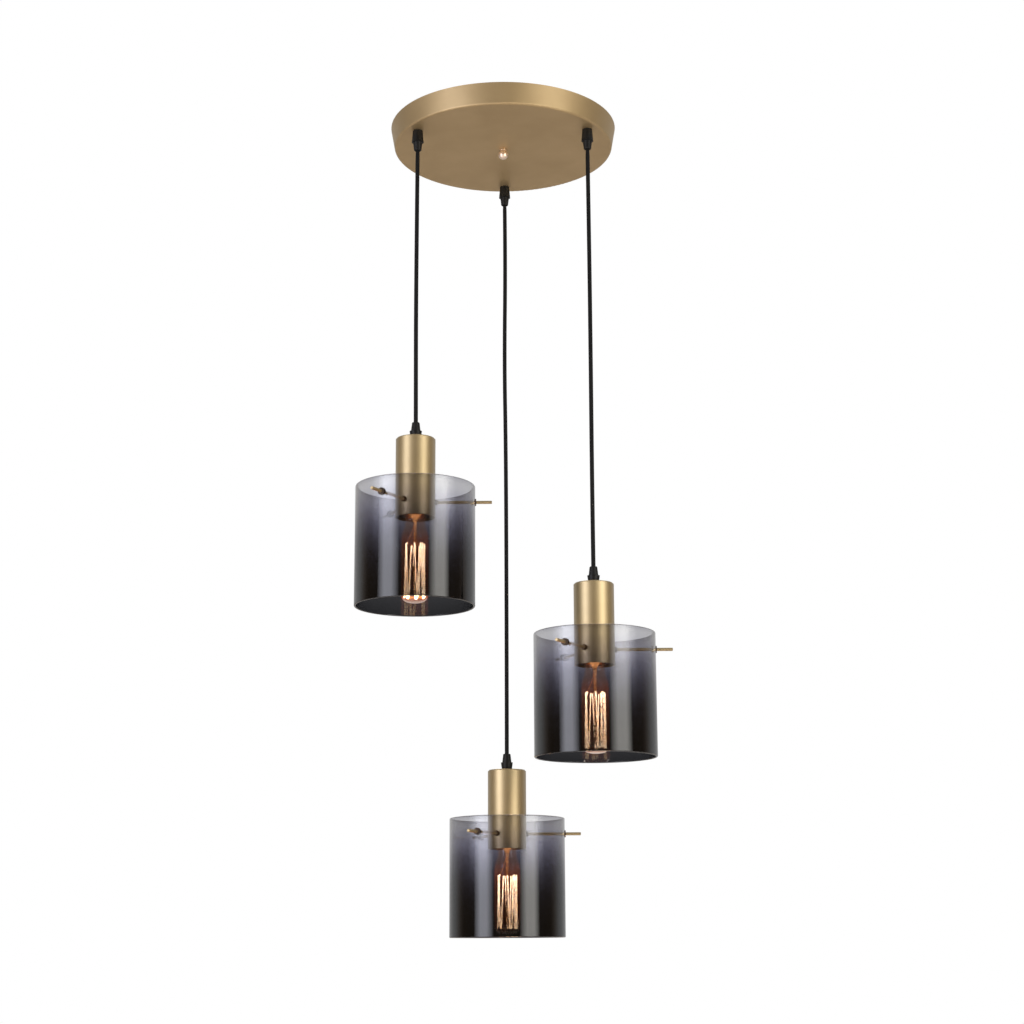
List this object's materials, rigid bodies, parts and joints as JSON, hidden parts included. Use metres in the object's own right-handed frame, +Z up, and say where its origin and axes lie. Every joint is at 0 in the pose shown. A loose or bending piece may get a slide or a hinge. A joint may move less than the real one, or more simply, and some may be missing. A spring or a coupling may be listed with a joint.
{
  "type": "cluster pendant light",
  "caption": "Round brass ceiling canopy with hanging lamps: smoked glass cylinders on rods, brass cups and long tubular filament bulbs.",
  "frame": {"origin": "centre of the canopy on the ceiling plane, at the middle of the bracket's two slots", "axes": "+Z up into the ceiling, +X to the right and -Y towards the viewer; everything hangs below the origin"},
  "size_m": [0.3928, 0.3619, 1.0583],
  "materials": {
    "satin_brass": "satin brushed and lacquered",
    "zinc_steel": "zinc plated",
    "black_plastic": "moulded nylon",
    "cord_jacket": "round flexible jacket",
    "phenolic": "moulded phenolic",
    "contact_brass": "bright pressed",
    "dark_bronze": "darkened",
    "dark_rubber": "soft moulded",
    "smoked_glass": "clear at the top to dark smoke at the bottom",
    "vitrite": "black insulator with a solder button",
    "bulb_cap_brass": "bright pressed",
    "bulb_clear_glass": "clear",
    "filament_wire": "glowing wire"
  },
  "bodies": {
    "canopy": {"canopy": "satin_brass", "ceiling_bracket": "zinc_steel", "stud_and_fixings": "zinc_steel", "ball_nut": "satin_brass", "terminal_block": "black_plastic", "inner_leads": "cord_jacket", "canopy_grips": "black_plastic", "canopy_grip_nuts": "zinc_steel"},
    "left_cord_bend": {"left_cord_top": "cord_jacket"},
    "left_hanging_cord": {"left_cord": "cord_jacket"},
    "left_cord_tail": {"left_cord_end": "cord_jacket"},
    "left_lamp": {"left_cord_grip": "black_plastic", "left_nipple": "zinc_steel", "left_cup": "satin_brass", "left_lampholder": "phenolic", "left_holder_contacts": "contact_brass", "left_rods": "satin_brass", "left_rod_nuts": "dark_bronze", "left_glass_grommets": "dark_rubber", "left_glass_shade": "smoked_glass"},
    "left_bulb_foot": {"left_bulb_contact": "vitrite"},
    "left_bulb": {"left_bulb_cap": "bulb_cap_brass", "left_bulb_glass": "bulb_clear_glass", "left_bulb_stem": "bulb_clear_glass", "left_filament": "filament_wire"},
    "right_cord_bend": {"right_cord_top": "cord_jacket"},
    "right_hanging_cord": {"right_cord": "cord_jacket"},
    "right_cord_tail": {"right_cord_end": "cord_jacket"},
    "right_lamp": {"right_cord_grip": "black_plastic", "right_nipple": "zinc_steel", "right_cup": "satin_brass", "right_lampholder": "phenolic", "right_holder_contacts": "contact_brass", "right_rods": "satin_brass", "right_rod_nuts": "dark_bronze", "right_glass_grommets": "dark_rubber", "right_glass_shade": "smoked_glass"},
    "right_bulb_foot": {"right_bulb_contact": "vitrite"},
    "right_bulb": {"right_bulb_cap": "bulb_cap_brass", "right_bulb_glass": "bulb_clear_glass", "right_bulb_stem": "bulb_clear_glass", "right_filament": "filament_wire"},
    "back_cord_bend": {"back_cord_top": "cord_jacket"},
    "back_hanging_cord": {"back_cord": "cord_jacket"},
    "back_cord_tail": {"back_cord_end": "cord_jacket"},
    "back_lamp": {"back_cord_grip": "black_plastic", "back_nipple": "zinc_steel", "back_cup": "satin_brass", "back_lampholder": "phenolic", "back_holder_contacts": "contact_brass", "back_rods": "satin_brass", "back_rod_nuts": "dark_bronze", "back_glass_grommets": "dark_rubber", "back_glass_shade": "smoked_glass"},
    "back_bulb_foot": {"back_bulb_contact": "vitrite"},
    "back_bulb": {"back_bulb_cap": "bulb_cap_brass", "back_bulb_glass": "bulb_clear_glass", "back_bulb_stem": "bulb_clear_glass", "back_filament": "filament_wire"}
  },
  "joints": [
    {"name": "left_swing_front_back", "type": "hinge", "parent": "canopy", "child": "left_cord_bend", "pos_m": [-0.11085, -0.064, -0.053], "axis": [1, 0, 0], "range_deg": [-10, 10]},
    {"name": "left_swing_side", "type": "hinge", "parent": "left_cord_bend", "child": "left_hanging_cord", "pos_m": [-0.11085, -0.064, -0.053], "axis": [0, 1, 0], "range_deg": [-10, 10]},
    {"name": "left_height", "type": "slide", "parent": "left_hanging_cord", "child": "left_cord_tail", "axis": [0, 0, 1], "range_m": [0, 0.2], "deforming": ["left_cord"]},
    {"name": "left_twist", "type": "hinge", "parent": "left_cord_tail", "child": "left_lamp", "pos_m": [-0.11085, -0.064, -0.4448], "axis": [0, 0, 1], "range_deg": [-90, 90]},
    {"name": "left_bulb_travel", "type": "slide", "parent": "left_lamp", "child": "left_bulb_foot", "axis": [0, 0, -1], "range_m": [0, 0.0182]},
    {"name": "left_bulb_turn", "type": "hinge", "parent": "left_bulb_foot", "child": "left_bulb", "pos_m": [-0.11085, -0.064, -0.5448], "axis": [0, 0, -1], "range_deg": [0, 1800]},
    {"name": "right_swing_front_back", "type": "hinge", "parent": "canopy", "child": "right_cord_bend", "pos_m": [0.11085, -0.064, -0.053], "axis": [1, 0, 0], "range_deg": [-10, 10]},
    {"name": "right_swing_side", "type": "hinge", "parent": "right_cord_bend", "child": "right_hanging_cord", "pos_m": [0.11085, -0.064, -0.053], "axis": [0, 1, 0], "range_deg": [-10, 10]},
    {"name": "right_height", "type": "slide", "parent": "right_hanging_cord", "child": "right_cord_tail", "axis": [0, 0, 1], "range_m": [0, 0.35], "deforming": ["right_cord"]},
    {"name": "right_twist", "type": "hinge", "parent": "right_cord_tail", "child": "right_lamp", "pos_m": [0.11085, -0.064, -0.6318], "axis": [0, 0, 1], "range_deg": [-90, 90]},
    {"name": "right_bulb_travel", "type": "slide", "parent": "right_lamp", "child": "right_bulb_foot", "axis": [0, 0, -1], "range_m": [0, 0.0182]},
    {"name": "right_bulb_turn", "type": "hinge", "parent": "right_bulb_foot", "child": "right_bulb", "pos_m": [0.11085, -0.064, -0.7318], "axis": [0, 0, -1], "range_deg": [0, 1800]},
    {"name": "back_swing_front_back", "type": "hinge", "parent": "canopy", "child": "back_cord_bend", "pos_m": [0, 0.128, -0.053], "axis": [1, 0, 0], "range_deg": [-10, 10]},
    {"name": "back_swing_side", "type": "hinge", "parent": "back_cord_bend", "child": "back_hanging_cord", "pos_m": [0, 0.128, -0.053], "axis": [0, 1, 0], "range_deg": [-10, 10]},
    {"name": "back_height", "type": "slide", "parent": "back_hanging_cord", "child": "back_cord_tail", "axis": [0, 0, 1], "range_m": [0, 0.5], "deforming": ["back_cord"]},
    {"name": "back_twist", "type": "hinge", "parent": "back_cord_tail", "child": "back_lamp", "pos_m": [0, 0.128, -0.8438], "axis": [0, 0, 1], "range_deg": [-90, 90]},
    {"name": "back_bulb_travel", "type": "slide", "parent": "back_lamp", "child": "back_bulb_foot", "axis": [0, 0, -1], "range_m": [0, 0.0182]},
    {"name": "back_bulb_turn", "type": "hinge", "parent": "back_bulb_foot", "child": "back_bulb", "pos_m": [0, 0.128, -0.9438], "axis": [0, 0, -1], "range_deg": [0, 1800]}
  ],
  "couplings": [
    {"joint": "left_bulb_travel", "follows": "left_bulb_turn", "m_per_rad": 0.00057757},
    {"joint": "right_bulb_travel", "follows": "right_bulb_turn", "m_per_rad": 0.00057757},
    {"joint": "back_bulb_travel", "follows": "back_bulb_turn", "m_per_rad": 0.00057757}
  ]
}
